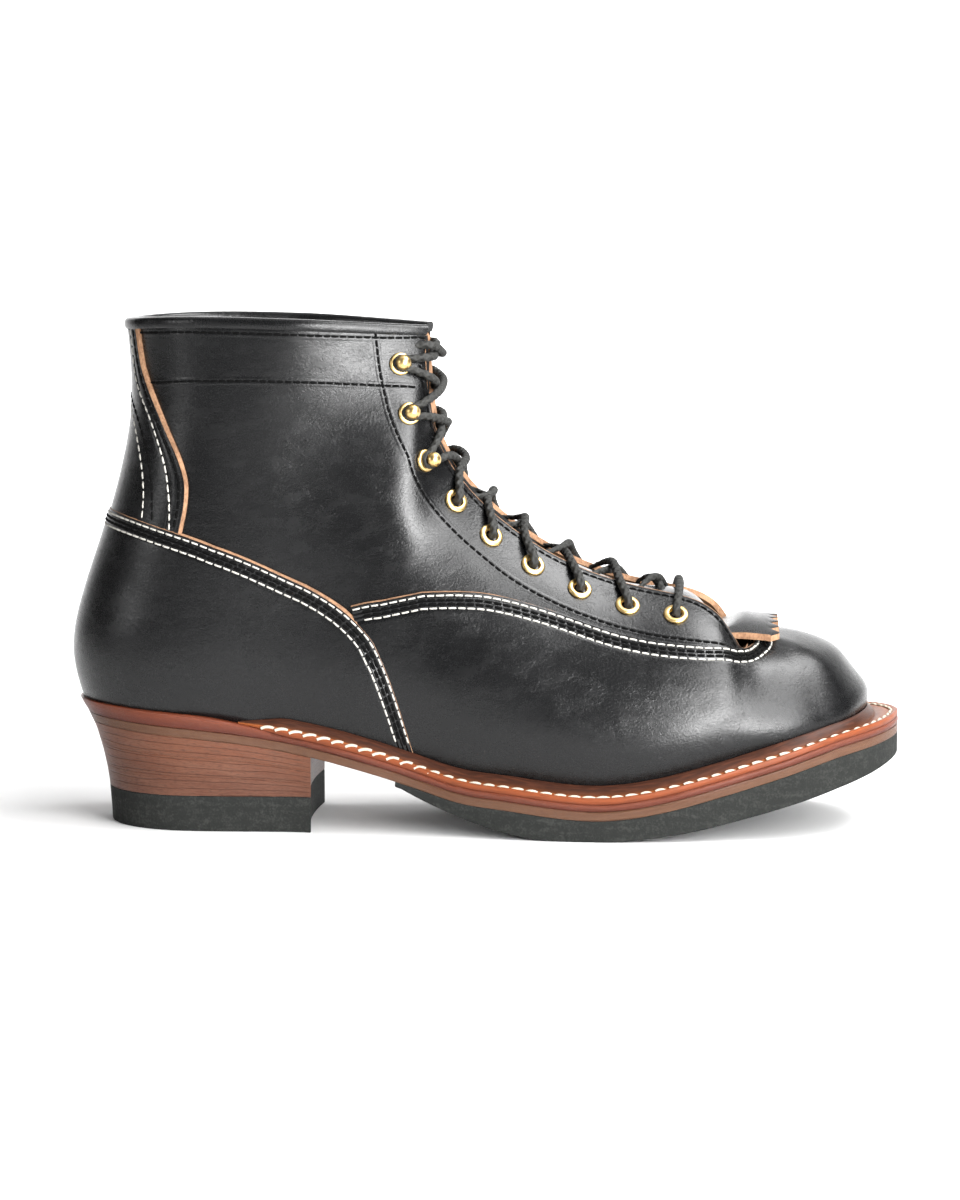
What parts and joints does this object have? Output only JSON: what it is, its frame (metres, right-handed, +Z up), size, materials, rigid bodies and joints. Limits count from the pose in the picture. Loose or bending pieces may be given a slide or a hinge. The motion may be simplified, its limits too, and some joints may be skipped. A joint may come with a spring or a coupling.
{
  "type": "logger boot",
  "caption": "Lace-to-toe leather logger boot for the right foot, with a stitched storm welt, stacked undercut heel and rubber tread, laced with brass eyelets and hooks.",
  "frame": {"origin": "middle of the heel's tread, on the floor", "axes": "+X to the toe, +Y to the inner side of the foot, +Z up"},
  "size_m": [0.306, 0.107, 0.1875],
  "materials": {
    "black_leather": "smooth black grain leather with a soft polish",
    "tan_edge": "raw cut edge of the leather, matt",
    "sole_leather": "dyed and waxed red-brown sole leather",
    "heel_leather": "stacked leather, sanded and waxed",
    "black_rubber": "matt dark rubber, buffed on its edge",
    "brass": "polished",
    "black_cord": "round braided lace and black thread",
    "cream_thread": "waxed thread"
  },
  "bodies": {
    "root": {"backstay": "black_leather", "collar_binding": "black_leather", "counter": "black_leather", "eyelet_inner_1": "brass", "eyelet_inner_2": "brass", "eyelet_inner_3": "brass", "eyelet_inner_4": "brass", "eyelet_inner_5": "brass", "eyelet_inner_6": "brass", "eyelet_outer_1": "brass", "eyelet_outer_2": "brass", "eyelet_outer_3": "brass", "eyelet_outer_4": "brass", "eyelet_outer_5": "brass", "eyelet_outer_6": "brass", "hook_inner_1": "brass", "hook_inner_2": "brass", "hook_inner_3": "brass", "hook_outer_1": "brass", "hook_outer_2": "brass", "hook_outer_3": "brass", "insole": "sole_leather", "kiltie": "black_leather", "lace_bar": "black_cord", "lace_crossing_1": "black_cord", "lace_crossing_2": "black_cord", "lace_crossing_3": "black_cord", "lace_crossing_4": "black_cord", "lace_crossing_5": "black_cord", "lace_crossing_6": "black_cord", "lace_crossing_7": "black_cord", "lace_crossing_8": "black_cord", "lift_1": "heel_leather", "lift_2": "heel_leather", "lift_3": "heel_leather", "midsole": "sole_leather", "slip_sole": "sole_leather", "tongue": "black_leather", "top_lift": "black_rubber", "tread": "black_rubber", "upper": "black_leather", "vamp": "black_leather", "welt": "sole_leather"}
  },
  "joints": []
}
